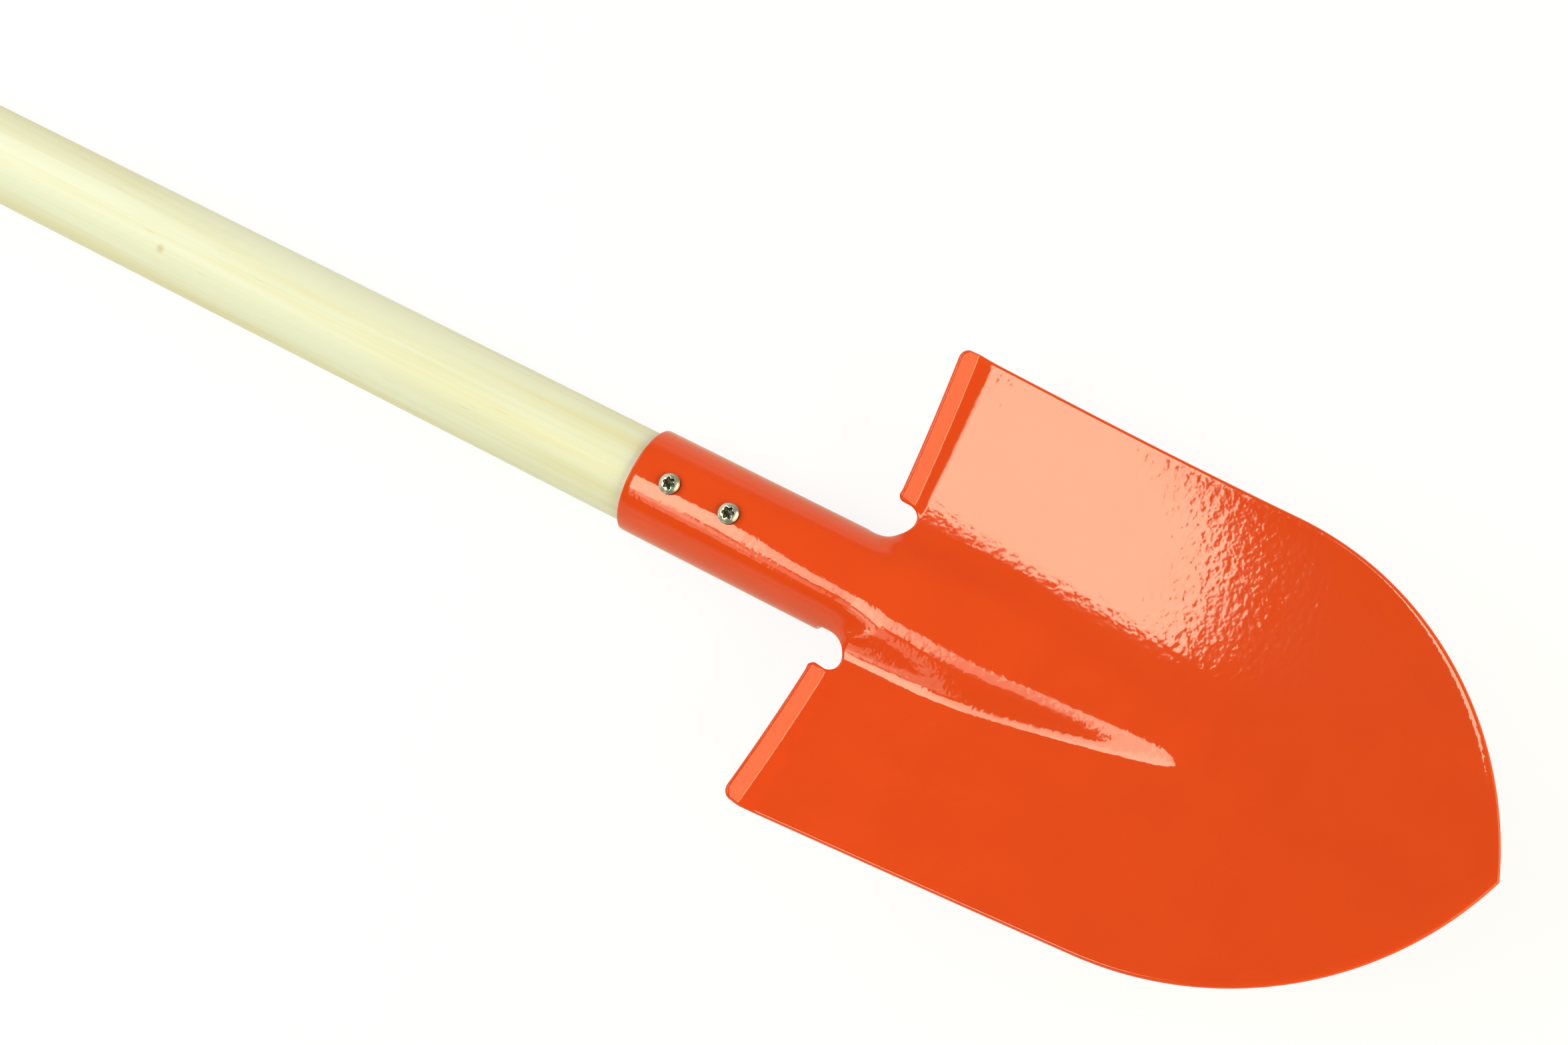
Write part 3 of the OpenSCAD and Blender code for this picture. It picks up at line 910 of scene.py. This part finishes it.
paper_mixed = add_node(paper_nodes, "ShaderNodeMixShader", {"Fac": seen_share})
paper_nodes.links.new(paper_matt.outputs[0], paper_mixed.inputs[1])
paper_nodes.links.new(paper_white.outputs[0], paper_mixed.inputs[2])
paper_out = paper_nodes.nodes.new("ShaderNodeOutputMaterial")
paper_nodes.links.new(paper_mixed.outputs[0], paper_out.inputs["Surface"])
floor_mesh.materials.append(paper)

horizon_span = (0.15, 0.42)
horizon_light = (0.85, 0.0)
dome_span = (-0.75, -0.4)
dome_light = (0.2, 0.28)
sky_tint = (1, 0.98, 0.86, 1)
world = bpy.data.worlds.new("studio")
bpy.context.scene.world = world
world.use_nodes = True
sky = world.node_tree
sky_place = add_node(sky, "ShaderNodeTexCoord").outputs["Generated"]
sky_parts = add_node(sky, "ShaderNodeSeparateXYZ", {"Vector": sky_place}).outputs
horizon = spread(sky, sky_parts["Z"], horizon_span, horizon_light)
dome = spread(sky, sky_parts["Y"], dome_span, dome_light)
sky_seen = add_node(sky, "ShaderNodeLightPath").outputs["Is Camera Ray"]
sky_light = work_out(sky, "MAXIMUM", horizon, dome)
sky_strength = work_out(sky, "MAXIMUM", sky_light, sky_seen)
sky_colour = blend_colours(sky, sky_seen, sky_tint, white)
feed(sky, sky.nodes["Background"].inputs["Strength"], sky_strength)
feed(sky, sky.nodes["Background"].inputs["Color"], sky_colour)


def softbox(name, place, back, along, size, power, colour):
    """A rectangular area light at a place, given the direction of its back and of its width."""
    lamp = bpy.data.lights.new(name, "AREA")
    lamp.shape = "RECTANGLE"
    lamp.size, lamp.size_y = size
    lamp.energy = power
    lamp.color = colour
    placed = bpy.data.objects.new(name, lamp)
    bpy.context.collection.objects.link(placed)
    back = Vector(back).normalized()
    up = back.cross(Vector(along)).normalized()
    turn = Matrix((up.cross(back), up, back)).transposed()
    placed.matrix_world = Matrix.Translation(place) @ turn.to_4x4()


# Each panel of the key light: where it starts and ends along the plane, where it starts and ends
# across it, and how bright it is
key_centre = Vector((0.1277, -0.3522, 0.82))
key_along = Vector((0.9935, -0.0888, 0.0716))
key_across = Vector((0.0667, 0.9615, 0.2666))
key_back = key_along.cross(key_across)
key_colour = (0.97, 1, 0.71)
key_panels = (
    ("key_softbox", (-0.335, -0.24), (-0.20, 0.23), 10),
    ("key_middle", (-0.24, -0.18), (-0.13, 0.25), 9.5),
    ("key_end", (-0.18, -0.12), (-0.06, 0.22), 7),
    ("key_tail", (-0.12, -0.06), (0.0, 0.21), 3.2),
    ("key_edge", (-0.30, -0.205), (-0.32, -0.20), 4.5),
    ("key_fall", (-0.30, -0.205), (-0.50, -0.32), 2.2),
    ("key_dim", (-0.205, -0.13), (-0.34, -0.13), 2),
)
for name, alongs, acrosses, brightness in key_panels:
    place = key_centre + key_along * sum(alongs) / 2 + key_across * sum(acrosses) / 2
    size = (alongs[1] - alongs[0], acrosses[1] - acrosses[0])
    power = brightness * math.pi * size[0] * size[1]
    softbox(name, place, key_back, key_along, size, power, key_colour)

# The other softboxes: place, direction of the back, size and power, all level across the tool
level = (0, 1, 0)
warm_light = (1, 0.86, 0.45)
white_light = (1, 1, 1)
other_softboxes = (
    ("far_softbox", (1.07, 0.15, 0.72), (0.78, 0.08, 0.62), (1.3, 0.23), 6.0, warm_light),
    ("far_low", (1.25, 0.15, 0.42), (0.92, 0.08, 0.38), (1.3, 0.40), 5.0, warm_light),
    ("back_softbox", (-0.75, 0.1, 0.75), (-0.74, 0.09, 0.67), (1.2, 0.4), 5.6, white_light),
)
for name, place, back, size, power, colour in other_softboxes:
    softbox(name, place, back, level, size, power, colour)

# Camera: sizes in millimetres, and a place and turn fitted to the pole, the socket and the blade
sensor_w = 36
lens_len = 56.633
camera_place = (0.374611, -0.083732, 0.689071)
camera_turn = [math.radians(turn) for turn in (14.1112, 10.3977, 28.9587)]
camera = bpy.data.cameras.new("camera")
camera.sensor_fit = "HORIZONTAL"
camera.sensor_width = sensor_w
camera.lens = lens_len
camera_stand = bpy.data.objects.new("camera", camera)
bpy.context.collection.objects.link(camera_stand)
camera_stand.location = camera_place
camera_stand.rotation_euler = camera_turn
bpy.context.scene.camera = camera_stand
bpy.context.scene.view_settings.view_transform = "Standard"
